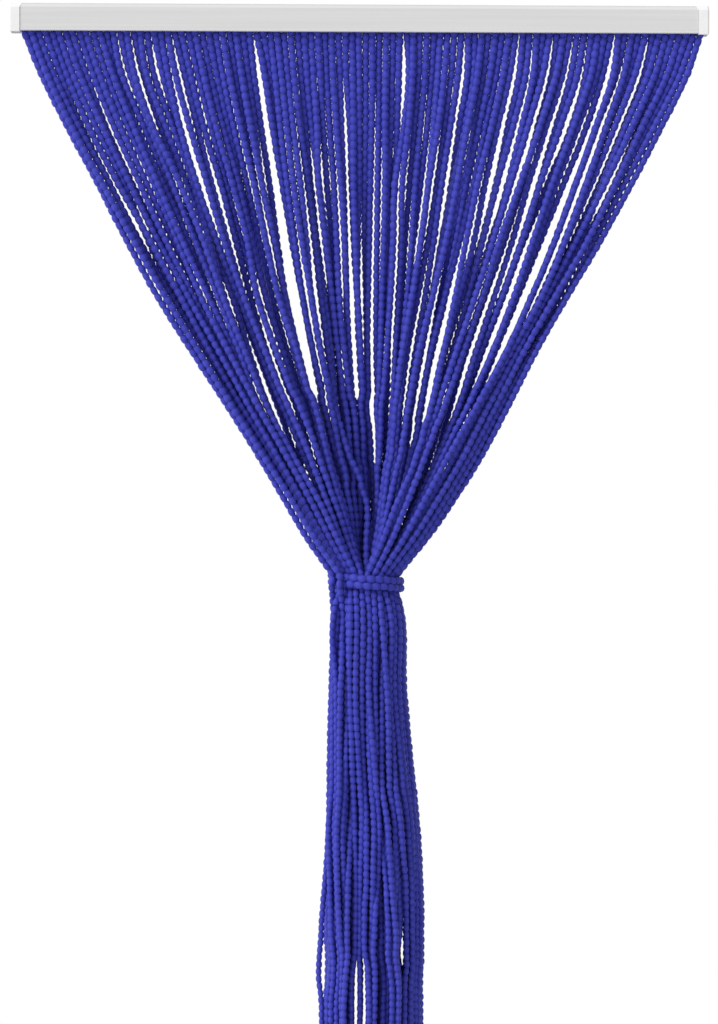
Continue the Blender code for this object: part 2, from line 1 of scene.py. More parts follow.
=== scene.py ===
import bmesh
import bpy
import numpy as np
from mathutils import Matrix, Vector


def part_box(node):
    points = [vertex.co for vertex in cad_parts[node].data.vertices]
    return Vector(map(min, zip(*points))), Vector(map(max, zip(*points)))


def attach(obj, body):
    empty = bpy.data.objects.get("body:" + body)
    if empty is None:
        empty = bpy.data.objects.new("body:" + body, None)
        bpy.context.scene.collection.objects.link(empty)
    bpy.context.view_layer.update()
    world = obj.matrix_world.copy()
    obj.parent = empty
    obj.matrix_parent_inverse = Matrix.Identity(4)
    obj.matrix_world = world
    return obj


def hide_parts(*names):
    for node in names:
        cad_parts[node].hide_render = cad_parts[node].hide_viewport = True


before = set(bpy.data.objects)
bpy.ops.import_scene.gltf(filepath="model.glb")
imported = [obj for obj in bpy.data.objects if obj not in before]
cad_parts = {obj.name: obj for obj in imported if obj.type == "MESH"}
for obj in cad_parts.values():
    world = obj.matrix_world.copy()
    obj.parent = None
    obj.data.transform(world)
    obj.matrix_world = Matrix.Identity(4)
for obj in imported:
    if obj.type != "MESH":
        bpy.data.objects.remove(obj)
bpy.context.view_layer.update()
print("stage: packed model loaded")


# Materials

# A new material whose shader starts from one colour, roughness and gloss
def startMaterial(name, colour, roughness, specular):
    material = bpy.data.materials.new(name)
    material.use_nodes = True
    material.diffuse_color = colour
    shader = material.node_tree.nodes["Principled BSDF"]
    shader.inputs["Base Color"].default_value = colour
    shader.inputs["Roughness"].default_value = roughness
    shader.inputs["Specular IOR Level"].default_value = specular
    return material, shader, material.node_tree.nodes, material.node_tree.links


# Noise in object space, stretched by one scale an axis
def addNoise(nodes, links, scale, stretch=(1, 1, 1), detail=3.0):
    place = nodes.new("ShaderNodeTexCoord")
    turn = nodes.new("ShaderNodeMapping")
    turn.inputs["Scale"].default_value = stretch
    noise = nodes.new("ShaderNodeTexNoise")
    noise.inputs["Scale"].default_value = scale
    noise.inputs["Detail"].default_value = detail
    links.new(place.outputs["Object"], turn.inputs["Vector"])
    links.new(turn.outputs["Vector"], noise.inputs["Vector"])
    return noise.outputs["Fac"]


# A value carried in proportion from one range to another; noise mostly lies between 0.3 and 0.7
def addRange(nodes, links, value, low, high, inLow=0.3, inHigh=0.7):
    mapped = nodes.new("ShaderNodeMapRange")
    mapped.inputs["From Min"].default_value = inLow
    mapped.inputs["From Max"].default_value = inHigh
    mapped.inputs["To Min"].default_value = low
    mapped.inputs["To Max"].default_value = high
    links.new(value, mapped.inputs["Value"])
    return mapped.outputs["Result"]


# From the first colour to the second by a factor; each is a fixed colour or the output of a node
def addColourMix(nodes, links, factor, first, second):
    mix = nodes.new("ShaderNodeMix")
    mix.data_type = "RGBA"
    links.new(factor, mix.inputs["Factor"])
    for socket, colour in ((mix.inputs[6], first), (mix.inputs[7], second)):    # its two colour sockets
        if isinstance(colour, tuple):
            socket.default_value = colour
        else:
            links.new(colour, socket)
    return mix.outputs[2]


# Bump from a height, at a given strength and depth
def addBump(nodes, links, shader, height, strength, distance):
    bump = nodes.new("ShaderNodeBump")
    bump.inputs["Strength"].default_value = strength
    bump.inputs["Distance"].default_value = distance
    links.new(height, bump.inputs["Height"])
    links.new(bump.outputs["Normal"], shader.inputs["Normal"])


beadFinish = {
    "crown": (0.044, 0.051, 0.430, 1.0),   # blue on the round of a bead
    "neck": (0.029, 0.034, 0.285, 1.0),    # painted shade: darker where two beads are pinched together, in the crease between them
    "faded": (0.054, 0.062, 0.480, 1.0),   # dyed a little paler, bead by bead
    "plainRoughness": 0.6,                 # before the patches drive it
    "roughness": (0.52, 0.68),
    "specular": 0.16,
    "patches": 60.0,                       # scale of the duller and shinier patches
    "grain": 900.0,
    "grainDetail": 2.0,
    "grainStrength": 0.35,
    "grainDepth": 0.00012,
    "sheen": 0.05,
    "sheenRoughness": 0.4,
}


# Blue from the painted shade at a neck to the crown by the crown attribute, paler bead by bead by the tint
# attribute
def makeBeadPlastic():
    finish = beadFinish
    material, shader, nodes, links = startMaterial("matt_blue_plastic", finish["crown"],
                                                   finish["plainRoughness"], finish["specular"])
    crown = nodes.new("ShaderNodeAttribute")
    crown.attribute_name = "crown"
    tint = nodes.new("ShaderNodeAttribute")
    tint.attribute_name = "tint"
    body = addColourMix(nodes, links, tint.outputs["Fac"], finish["crown"], finish["faded"])
    # painted shade: the crown attribute blends from the darker neck colour in the creases to the crown's
    # blue
    colour = addColourMix(nodes, links, crown.outputs["Fac"], finish["neck"], body)
    links.new(colour, shader.inputs["Base Color"])
    patches = addNoise(nodes, links, finish["patches"])
    links.new(addRange(nodes, links, patches, *finish["roughness"]), shader.inputs["Roughness"])
    grain = addNoise(nodes, links, finish["grain"], detail=finish["grainDetail"])
    addBump(nodes, links, shader, grain, finish["grainStrength"], finish["grainDepth"])
    shader.inputs["Sheen Weight"].default_value = finish["sheen"]
    shader.inputs["Sheen Roughness"].default_value = finish["sheenRoughness"]
    return material


railFinish = {
    "paint": (0.700, 0.700, 0.700, 1.0),
    "shaded": (0.655, 0.655, 0.657, 1.0),
    "plainRoughness": 0.4,
    "roughness": (0.36, 0.46),
    "specular": 0.4,
    "drawScale": 1.0,
    "drawLines": (3.0, 260.0, 260.0),      # stretch of the faint lines that the drawn metal leaves
    "drawDetail": 4.0,
    "orangePeel": 700.0,
    "peelDetail": 1.0,
    "peelStrength": 0.12,
    "peelDepth": 0.0001,
}


# White paint, shaded along the drawn metal's lines, with a fine orange peel
def makeRailPaint():
    finish = railFinish
    material, shader, nodes, links = startMaterial("white_powder_coat", finish["paint"],
                                                   finish["plainRoughness"], finish["specular"])
    drawn = addNoise(nodes, links, finish["drawScale"], finish["drawLines"], finish["drawDetail"])
    colour = addColourMix(nodes, links, addRange(nodes, links, drawn, 0.0, 1.0), finish["shaded"],
                          finish["paint"])
    links.new(colour, shader.inputs["Base Color"])
    peel = addNoise(nodes, links, finish["orangePeel"], detail=finish["peelDetail"])
    links.new(addRange(nodes, links, peel, *finish["roughness"]), shader.inputs["Roughness"])
    addBump(nodes, links, shader, peel, finish["peelStrength"], finish["peelDepth"])
    return material


capFinish = {
    "plastic": (0.880, 0.880, 0.880, 1.0),
    "dulled": (0.835, 0.835, 0.830, 1.0),
    "plainRoughness": 0.5,
    "roughness": (0.42, 0.55),
    "specular": 0.4,
    "cloud": 90.0,                         # scale of the faint clouds in the colour
    "spark": 1100.0,                       # scale of the fine grain that the mould leaves
    "sparkDetail": 1.0,
    "sparkStrength": 0.2,
    "sparkDepth": 0.00008,
}


# White plastic, clouded from dulled to clean, with the mould's fine grain
def makeCapPlastic():
    finish = capFinish
    material, shader, nodes, links = startMaterial("moulded_white_plastic", finish["plastic"],
                                                   finish["plainRoughness"], finish["specular"])
    cloud = addNoise(nodes, links, finish["cloud"])
    colour = addColourMix(nodes, links, addRange(nodes, links, cloud, 0.0, 1.0), finish["dulled"],
                          finish["plastic"])
    links.new(colour, shader.inputs["Base Color"])
    spark = addNoise(nodes, links, finish["spark"], detail=finish["sparkDetail"])
    links.new(addRange(nodes, links, spark, *finish["roughness"]), shader.inputs["Roughness"])
    addBump(nodes, links, shader, spark, finish["sparkStrength"], finish["sparkDepth"])
    return material


beadPlastic = makeBeadPlastic()
railPaint = makeRailPaint()
capPlastic = makeCapPlastic()
print("stage: materials made")


# Mesh helpers

# A mesh from arrays: points (n, 3), corner numbers of all faces in a row, and the corners of each face
def meshFromArrays(name, points, corners, counts, material, smooth=True):
    mesh = bpy.data.meshes.new(name)
    mesh.vertices.add(len(points))
    mesh.vertices.foreach_set("co", np.ascontiguousarray(points, dtype=np.float32).ravel())
    mesh.loops.add(len(corners))
    mesh.loops.foreach_set("vertex_index", np.ascontiguousarray(corners, dtype=np.int32))
    mesh.polygons.add(len(counts))
    starts = np.concatenate([[0], np.cumsum(counts)[:-1]]).astype(np.int32)
    mesh.polygons.foreach_set("loop_start", starts)
    mesh.polygons.foreach_set("use_smooth", np.full(len(counts), smooth))
    mesh.update(calc_edges=True)
    mesh.validate()
    mesh.materials.append(material)
    piece = bpy.data.objects.new(name, mesh)
    bpy.context.scene.collection.objects.link(piece)
    return piece


# Corners of a tube of rings, one after another, with its two ends closed by one face each.
# Quad (ring, side) joins it to the next ring and the next side, counted round
def tubeCorners(rings, sides, first):
    ring, side = np.meshgrid(np.arange(rings - 1), np.arange(sides), indexing="ij")
    here = first + ring * sides + side
    beside = first + ring * sides + (side + 1) % sides
    quads = np.stack([here, beside, beside + sides, here + sides], -1).reshape(-1)
    head = first + np.arange(sides)[::-1]
    foot = first + (rings - 1) * sides + np.arange(sides)
    counts = np.concatenate([np.full((rings - 1) * sides, 4), [sides, sides]])
    return np.concatenate([quads, head, foot]), counts


# The length of each step of a sampled line, and the run from its start to each sample, the sum of the steps
def measureLine(line):
    step = np.linalg.norm(np.diff(line, axis=0), axis=1)
    return step, np.concatenate([[0], np.cumsum(step)])


# Places or directions at given runs, in proportion between the samples
def sampleAlong(at, run, samples):
    return np.stack([np.interp(at, run, samples[:, i]) for i in range(3)], 1)


# Corners of rings: the centre plus the half width times a share of each of two directions
def ringCorners(centre, half, firstShare, first, secondShare, second):
    reach = (firstShare[None, :, None] * first[:, None] + secondShare[None, :, None] * second[:, None])
    return (centre[:, None] + half[:, None, None] * reach).reshape(-1, 3)


# From 0 at the first value to 1 at the second, evenly at both ends
def easeBetween(values, first, second):
    share = np.clip((values - first) / (second - first), 0, 1)
    return share * share * (3 - 2 * share)


# Strand centre lines

lineReading = {
    "digits": 6,                            # corners that agree to this many digits are one
    "near": 1e-4,                           # this close to the roots' height counts as on it
    "rowHalf": 0.006,                       # at the roots, corners this close to the row are a strand's
}


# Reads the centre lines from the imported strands. Each strand is one connected set of corners below the
# strip: every corner takes the lowest number among its neighbours until nothing changes. A centre is the
# mean of the three corners of a section, and strands are sorted by the place of their roots along the rail
def readStrandLines(node):
    near = lineReading["near"]
    mesh = node.data
    points = np.empty(len(mesh.vertices) * 3, np.float32)
    mesh.vertices.foreach_get("co", points)
    points = points.reshape(-1, 3).astype(float)
    corners = np.empty(len(mesh.loops), np.int32)
    mesh.loops.foreach_get("vertex_index", corners)
    merged, number = np.unique(np.round(points, lineReading["digits"]), axis=0, return_inverse=True)
    triangles = number.ravel()[corners].reshape(-1, 3)
    root = merged[:, 2].max() - stripShape["thickness"]
    inRow = np.abs(merged[:, 1] - stripShape["row"]) < lineReading["rowHalf"]
    ofStrand = ((merged[:, 2] < root + near) & inRow) | (merged[:, 2] < root - near)
    edges = np.concatenate([triangles[:, [0, 1]], triangles[:, [1, 2]], triangles[:, [2, 0]]])
    edges = edges[ofStrand[edges].all(1)]
    atRoot = np.abs(merged[:, 2] - root) < near
    edges = edges[~atRoot[edges].all(1)]
    label = np.arange(len(merged))
    while True:
        lowest = np.minimum(label[edges[:, 0]], label[edges[:, 1]])
        spread = label.copy()
        np.minimum.at(spread, edges[:, 0], lowest)
        np.minimum.at(spread, edges[:, 1], lowest)
        if (spread == label).all():
            break
        label = spread
    lines = []
    for name in np.unique(label[ofStrand]):
        own = merged[(label == name) & ofStrand]
        own = own[np.argsort(-own[:, 2], kind="stable")]
        lines.append(own.reshape(-1, 3, 3).mean(1))
    lines = np.array(lines)
    return lines[np.argsort(lines[:, 0, 0], kind="stable")]


# A smooth line through a strand's sections, close-sampled. Between two heights the place is the cubic that
# meets both places and slopes. A slope is that of the parabola through three sections, at the two ends that
# of the run beside it, and at the tie a share of the straight run outside it, so that the strands bend
# sharply there. The first place stands back towards the row, and a short straight run is added above it
def smoothLine(line, steps):
    z, place = line[:, 2], line[:, :2].copy()
    gap = np.diff(z)[:, None]
    place[0, 1] += beadShape["calm"] * (stripShape["row"] - place[0, 1])
    chord = np.diff(place, axis=0) / gap
    slope = np.empty(place.shape)
    slope[1:-1] = (chord[:-1] * gap[1:] + chord[1:] * gap[:-1]) / (gap[:-1] + gap[1:])
    slope[0] = chord[0]
    slope[-1] = chord[-1]
    tied = np.argmin(np.abs(z - tieShape["head"]))
    slope[tied] = tieShape["bend"] * chord[tied - 1]
    slope[tied + 1] = tieShape["bend"] * chord[tied + 1]
    at = np.linspace(0, len(z) - 1, steps)
    span = np.minimum(at.astype(int), len(z) - 2)
    t = (at - span)[:, None]
    wide = gap[span]
    smooth = ((1 + 2 * t) * (1 - t) ** 2 * place[span] + t * (1 - t) ** 2 * wide * slope[span]
              + t * t * (3 - 2 * t) * place[span + 1] + t * t * (t - 1) * wide * slope[span + 1])
    smooth = np.concatenate([smooth, (z[span] + (at - span) * gap[span, 0])[:, None]], 1)
    above = smooth[0] + np.array([0.0, 0.0, beadShape["above"]])
    return np.concatenate([np.linspace(above, smooth[0], beadShape["aboveSteps"], endpoint=False), smooth])


bundleShape = {
    "seed": 21,
    "from": -0.79,                          # height below which the strands of the bundle stray a little
    "grows": 0.20,                          # over this height the straying comes to its full size
    "aside": 0.0007,
    "deep": 0.0014,
    "wave": (0.16, 0.30),                   # length of its waves, from and to
    "folds": (                              # place and height of the head and the foot, half width, depth
        (-0.0200, -0.740, -0.0205, -0.980, 0.0052, -0.0110),
        (0.0035, -0.920, -0.0005, -1.750, 0.0097, 0.0120),
        (0.0260, -0.940, 0.0520, -1.750, 0.0056, 0.0100),
    ),
    "foldEnd": 0.10,                        # a fold grows over this height and ends over the same
    "foldReach": 0.012,                     # this far in front of the row a fold has its full depth
    "flank": (0.0600, 0.0660, 0.0130),      # between these places the right flank steps back, by this
    "flankHead": (-0.78, -1.02),
    "flankFoot": (-1.80, -1.50),
    "fanSpan": (-0.36, -0.70),              # heights between which the slits above the tie are set
    "fanSlits": (                           # place and height of the head and the foot, clear width
        (-0.1042, -0.300, -0.0506, -0.516, 0.0200),
        (-0.0129, -0.300, 0.0002, -0.516, 0.0200),
        (0.0147, -0.300, 0.0231, -0.598, 0.0200),
        (0.1104, -0.300, 0.0665, -0.575, 0.0200),
        (0.1350, -0.300, 0.0832, -0.545, 0.0200),
    ),
    "fallSpan": (-1.00, -1.70),             # the same for the slits below the tie
    "fallSlits": (
        (-0.0405, -1.194, -0.0395, -1.288, 0.0026),
        (0.0032, -1.218, 0.0030, -1.660, 0.0040),
        (0.0115, -1.206, 0.0125, -1.660, 0.0040),
        (0.0623, -1.186, 0.0623, -1.262, 0.0032),
        (0.0776, -1.300, 0.0776, -1.302, 0.0),      # shut on all its height
    ),
    "levels": 141,                          # heights at which a span is worked out
    "slitEnd": 0.040,                       # a slit tapers over this height
    "shut": -0.0016,                        # outside it the strands lap by this on each side
    "sidesAbove": -1.31,                    # the sides are told half way down a slit's part above this
    "otherSide": 1.0,                       # what a strand of the other side counts as off, so never nearest
    "mostShift": 0.004,
    "fade": 0.060,                          # the shifts come in over this height at both ends of a span
    "pull": 0.030,                          # strands this far from a slit move little with it
}


# Soft disorder of the bundle below the tie. Aside and in depth each strand sways by an amplitude times the
# sine of its own wave. Strands near a fold stand back by the fold's depth times a flat-topped bell of their
# distance from it, and forward where that depth is negative. Those of the right flank stand back by the
# flank's step
def strayLines(fine):
    shape = bundleShape
    z = fine[..., 2]
    grown = easeBetween(z, shape["from"], shape["from"] - shape["grows"])
    rng = np.random.default_rng(shape["seed"])
    length = rng.uniform(*shape["wave"], (len(fine), 2, 1))
    phase = rng.uniform(0, 2 * np.pi, (len(fine), 2, 1))
    sway = np.sin(2 * np.pi * z[:, None] / length + phase)
    moved = fine.copy()
    moved[..., 0] += shape["aside"] * grown * sway[:, 0]
    moved[..., 1] += shape["deep"] * grown * sway[:, 1]
    ahead = np.clip((stripShape["row"] - fine[..., 1]) / shape["foldReach"], 0, 1)
    for headPlace, head, footPlace, foot, half, depth in shape["folds"]:
        place = np.interp(-z, [-head, -foot], [headPlace, footPlace])
        live = easeBetween(z, head, head - shape["foldEnd"]) * easeBetween(z, foot, foot + shape["foldEnd"])
        moved[..., 1] += depth * live * ahead * np.exp(-((fine[..., 0] - place) / half) ** 4)
    inner, outer, depth = shape["flank"]
    live = easeBetween(z, *shape["flankHead"]) * easeBetween(z, *shape["flankFoot"])
    moved[..., 1] += depth * live * easeBetween(fine[..., 0], inner, outer)
    return moved


# Shuts the daylight slits past their ends. At every height the nearest strand on each side of a slit's line
# is to leave half the clear width to it, and past the slit's ends to lap over it. What it leaves too much,
# up to a limit, is the shift of that side towards the line. Strands further away move less, by a bell of
# their distance, and at both ends of the span nothing moves
def shutSlits(fine, slits, span):
    shape = bundleShape
    heights = np.linspace(*span, shape["levels"])
    places = np.stack([np.interp(-heights, -line[:, 2], line[:, 0]) for line in fine])
    slim = np.interp(-heights, -np.array(beadShape["atHeights"]), beadShape["slim"])
    half = 0.5 * beadShape["width"] * slim
    moves = np.zeros(places.shape)
    for headPlace, head, footPlace, foot, clear in slits:
        line = headPlace + (footPlace - headPlace) * (heights - head) / (foot - head)
        inside = (easeBetween(heights, head, head - shape["slitEnd"])
                  * easeBetween(heights, foot, foot + shape["slitEnd"]))
        wanted = shape["shut"] + (clear / 2 - shape["shut"]) * inside
        at = np.argmin(np.abs(heights - (max(foot, shape["sidesAbove"]) + head) / 2))
        for side in (-1, 1):
            own = side * (places[:, at] - line[at]) > 0
            off = side * (places - line)
            nearest = np.where(own[:, None], off, shape["otherSide"]).min(0)
            shift = np.clip(nearest - half - wanted, 0, shape["mostShift"])
            near = np.exp(-(np.clip(off - nearest, 0, None) / shape["pull"]) ** 2)
            moves -= side * own[:, None] * shift * near
    moves *= easeBetween(heights, span[0], span[0] - shape["fade"])
    moves *= easeBetween(heights, span[1], span[1] + shape["fade"])
    moved = fine.copy()
    for line, move in zip(moved, moves):
        line[:, 0] += np.interp(-line[:, 2], -heights, move)
    return moved


# Beaded tubes

beadShape = {
    "width": 0.0098,                        # across a bead
    "atHeights": (-0.04, -0.30, -0.76, -1.32),          # where the next three rows hold
    "pitch": (0.0106, 0.0106, 0.0103, 0.0091),          # length of a bead
    "slim": (1.03, 0.95, 0.89, 0.83),       # share of the width
    "neck": (0.76, 0.68, 0.66, 0.66),       # share of the width at a bead's ends
    "rings": (0.0, 0.20, 0.50, 0.80),       # where the rings of a bead lie along it
    "sides": (7, 6, 6),                     # round a bead in the upper, middle and lower part of a strand
    "coreRings": (0.0, 0.50),
    "coreSides": 4,
    "full": 0.62,                           # the lower, the fuller a bead's round
    "uneven": 0.06,                         # share by which beads differ in width
    "tint": (0.35, 0.22),                   # how faded a bead is, mean and spread
    "twist": 2.0,                           # a strand's corners are turned by up to this, in radians
    "jog": 0.00035,                         # how far a bead sits off the strand's line
    "calm": 0.6,                            # share by which the roots stand back to one row
    "above": 0.0085,                        # how far a strand's first bead stands above its root
    "aboveSteps": 8,
    "slack": 1e-9,                          # a count this close to a whole number has reached it
}


# Half width along a bead: neck share plus the rest times a flattened sine, fuller than a sine in the middle
def beadProfile(t, neck):
    return neck + (1 - neck) * np.sin(np.pi * t) ** beadShape["full"]


# Pitch, slim or neck at given heights, in proportion between those of the list
def beadRow(z, row):
    return np.interp(z, np.array(beadShape["atHeights"])[::-1], np.array(beadShape[row])[::-1])


# Rings round a sampled line. Bead borders stand where the running count, the integral of one over the
# pitch, is whole; ring centres lie at shares of each bead, and corners at half width times the profile,
# square to the line. Returns points, crown (0 at a neck, 1 on the round) and tint of every corner, and the
# rings' number
def beadRings(line, start, stop, phase, shares, sides, seed):
    shape = beadShape
    step, run = measureLine(line)
    pitch = beadRow(line[:, 2], "pitch")
    count = np.concatenate([[0], np.cumsum(step * 2 / (pitch[1:] + pitch[:-1]))]) - phase
    first, last = np.floor(np.interp([start, stop], run, count) + shape["slack"])
    beads = np.arange(max(first, np.ceil(count[0])), last)
    share = np.array(shares)
    at = np.concatenate([(beads[:, None] + share).ravel(), [last]])
    along = np.interp(at, count, run)
    centre = sampleAlong(along, run, line)
    tangent = sampleAlong(along, run, np.gradient(line, axis=0))
    tangent /= np.linalg.norm(tangent, axis=1)[:, None]
    rng = np.random.default_rng(seed)
    size = 1 + shape["uneven"] * rng.uniform(-1, 1, len(beads) + 1)
    tint = np.clip(rng.normal(*shape["tint"], len(beads) + 1), 0, 1)
    number = np.concatenate([np.repeat(np.arange(len(beads)), len(share)), [len(beads)]])
    t = at - np.floor(at + shape["slack"])
    neck = beadRow(centre[:, 2], "neck")
    profile = beadProfile(np.clip(t, 0, 1), neck)
    slim = beadRow(centre[:, 2], "slim")
    half = 0.5 * shape["width"] * slim * profile * np.where(t > shape["slack"], size[number], 1.0)
    aside = rng.uniform(-1, 1, (len(beads) + 1, 2))[number] * shape["jog"] * np.sin(np.pi * t)[:, None]
    centre[:, :2] += aside
    across = np.cross(tangent, [0.0, 1.0, 0.0])
    across /= np.linalg.norm(across, axis=1)[:, None]
    deep = np.cross(tangent, across)
    angle = 2 * np.pi * (np.arange(sides) / sides) + rng.uniform(0, shape["twist"])
    points = ringCorners(centre, half, np.cos(angle), across, np.sin(angle), deep)
    # the crown sets where the painted shade at a bead's necks falls
    crown = (profile - neck) / (1 - neck)
    return points, np.repeat(crown, sides), np.repeat(tint[number], sides), len(at)


# One mesh of many beaded tubes, with the crown (where the painted shade at the necks falls) and the tint of
# each corner as attributes
def joinTubes(name, tubes, material):
    points, crowns, tints, corners, counts = [], [], [], [], []
    first = 0
    for tubePoints, crown, tint, rings, sides in tubes:
        tubeCorner, tubeCount = tubeCorners(rings, sides, first)
        points.append(tubePoints)
        crowns.append(crown)
        tints.append(tint)
        corners.append(tubeCorner)
        counts.append(tubeCount)
        first += len(tubePoints)
    piece = meshFromArrays(name, np.concatenate(points), np.concatenate(corners), np.concatenate(counts),
                           material)
    for label, values in (("crown", crowns), ("tint", tints)):
        attribute = piece.data.attributes.new(label, "FLOAT", "POINT")
        attribute.data.foreach_set("value", np.concatenate(values).astype(np.float32))
    return piece


# Outlines

# A solid of one outline, in depth and height, from one place along the rail to another. The outline is
# turned round where its signed area, half the sum of cross products, is negative, so that the faces point
# outwards
def extrudeOutline(name, outline, start, end, material):
    outline = np.array(outline)
    y, z = outline.T
    if (y * np.roll(z, -1) - np.roll(y, -1) * z).sum() < 0:
        outline = outline[::-1]
    count = len(outline)
    ends = np.array([start, end])
    points = np.concatenate([np.repeat(ends, count)[:, None], np.tile(outline, (2, 1))], 1)
    side = np.arange(count)
    beside = (side + 1) % count
    quads = np.stack([side, beside, beside + count, side + count], 1).ravel()
    corners = np.concatenate([quads, side[::-1], side + count])
    counts = np.concatenate([np.full(count, 4), [count, count]])
    return meshFromArrays(name, points, corners, counts, material, smooth=False)


# Arcs of a given radius in place of an outline's corners. The arc starts and ends at the corner's two
# tangent points; between them each point is the quadratic blend of tangent point, corner, tangent point
def roundCorners(outline, radii, steps=4):
    outline = np.array(outline)
    before = np.roll(outline, 1, axis=0) - outline
    after = np.roll(outline, -1, axis=0) - outline
    before /= np.linalg.norm(before, axis=1)[:, None]
    after /= np.linalg.norm(after, axis=1)[:, None]
    cosine = (before * after).sum(1)
    reach = np.array(radii) * np.sqrt((1 + cosine) / np.maximum(1 - cosine, 1e-6))    # never divides by 0
    t = np.linspace(0, 1, steps)[None, :, None]
    start = (outline + before * reach[:, None])[:, None]
    stop = (outline + after * reach[:, None])[:, None]
    arc = (1 - t) ** 2 * start + 2 * t * (1 - t) * outline[:, None] + t ** 2 * stop
    return np.concatenate([corner if radius > 0 else corner[:1] for corner, radius in zip(arc, radii)])


# Hanger strip

stripShape = {
    "thickness": 0.0030,
    "row": -0.003,                          # depth of the row of strands
    "front": -0.0140,
    "back": 0.0080,
    "ends": (-0.4365, 0.4445),
    "round": 0.0006,
}


# A flat bar with rounded edges, standing on the roots of the strands
def buildStrip():
    shape = stripShape
    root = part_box("strand_curtain")[1].z - shape["thickness"]
    outline = [(shape["front"], root), (shape["back"], root), (shape["back"], root + shape["thickness"]),
               (shape["front"], root + shape["thickness"])]
    outline = roundCorners(outline, [shape["round"]] * 4)
    strip = extrudeOutline("hanger_strip", outline, *shape["ends"], capPlastic)
    return strip


# Strands

strandShape = {
    "pieces": 6,
    "samples": 1600,
    "seed": 100,                            # of the first strand, and one more for each next
    "stagger": 0.5,                         # every second strand's beads sit this share of a bead lower
    "staggerSway": (0.05, 2.4),             # plus this share times the sine of this angle times its number
    "middleFrom": -0.775,                   # heights of the middle part of a strand; a core strand has
    "middleTo": -1.80,                      # plainer beads there
    "coreRadius": 0.0235,                   # strands nearer the tie's middle than this don't show below it
}


# Each strand's line is smoothed, its slits shut, its fall set astray, and then beaded in three parts. The
# core is told in the tie's oval: the root of the squares of the place and of the depth over the oval's
# share
def buildStrands():
    shape = strandShape
    lines = readStrandLines(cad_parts["strand_curtain"])
    print("stage:", len(lines), "strands read, with", lines.shape[1], "sections each")
    tieRow = np.argmin(np.abs(lines[0, :, 2] - tieShape["head"]))
    inTie = lines[:, tieRow, :2] - np.array([tieShape["middle"], stripShape["row"]])
    inTie[:, 1] /= tieShape["deep"]
    core = np.hypot(inTie[:, 0], inTie[:, 1]) < shape["coreRadius"]
    smooth = np.stack([smoothLine(line, shape["samples"]) for line in lines])
    shut = shutSlits(smooth, bundleShape["fanSlits"], bundleShape["fanSpan"])
    shut = shutSlits(shut, bundleShape["fallSlits"], bundleShape["fallSpan"])
    sway, angle = shape["staggerSway"]
    middle = [-shape["middleFrom"], -shape["middleTo"]]
    tubes = []
    for number, fine in enumerate(strayLines(shut)):
        run = measureLine(fine)[1]
        phase = shape["stagger"] * (number % 2) + sway * np.sin(angle * number)
        borders = [0.0, *np.interp(middle, -fine[:, 2], run), run[-1]]
        parts = []
        for part, (start, stop) in enumerate(zip(borders, borders[1:])):
            plain = core[number] and part == 1
            shares = beadShape["coreRings"] if plain else beadShape["rings"]
            sides = beadShape["coreSides"] if plain else beadShape["sides"][part]
            rings = beadRings(fine, start, stop, phase, shares, sides, shape["seed"] + number)
            parts.append((*rings, sides))
        tubes.append(parts)
    groups = np.array_split(np.arange(len(lines)), shape["pieces"])
    strands = []
    for group, members in enumerate(groups):
        own = [tube for member in members for tube in tubes[member]]
        piece = joinTubes(f"beaded_strands_{group + 1}", own, beadPlastic)
        strands.append(piece)
    return strands


# Tie

tieShape = {
    "head": -0.736,                         # height at which the strands enter the tie
    "middle": 0.0124,
    "radius": 0.0452,
    "height": -0.743,
    "start": 100.0,                         # degrees, seen from above, from the right
    "turns": 1.97,
    "samples": 400,
    "deep": 1.14,                           # how much deeper than wide the tie's oval is
    "bend": 0.85,                           # share of their slope outside it that the strands keep at it
    "step": 0.0086,                         # how much lower each turn lies
    "tilt": 0.0017,                         # how much lower the right side lies than the middle
    "flat": 0.90,                           # its beads are this share as deep as they are high
    "width": 0.0104,                        # its beads bulge where it is pulled tight
    "pitch": 0.0111,
    "neck": 0.62,
    "rings": (0.0, 0.14, 0.32, 0.5, 0.68, 0.86),
    "sides": 10,
    "seed": 7,
    "tint": (0.35, 0.2),
    "jog": 0.0008,                          # how far a bead sits off the tie's line, up or down
    "jogOut": 0.5,                          # share of that, out or in
}


# Middle line of the tie: a helix on an oval, lower at the right, the height falling by one step a turn
def buildTie():
    shape = tieShape
    turn = np.linspace(0, shape["turns"], shape["samples"])
    angle = np.radians(shape["start"]) + 2 * np.pi * turn
    line = np.stack([shape["middle"] + shape["radius"] * np.cos(angle),
                     stripShape["row"] + shape["radius"] * shape["deep"] * np.sin(angle),
                     shape["height"] + shape["step"] * (shape["turns"] / 2 - turn)
                     - shape["tilt"] * np.cos(angle)], 1)
    piece = joinTubes("tie_strand", [tieRings(line)], beadPlastic)
    return piece


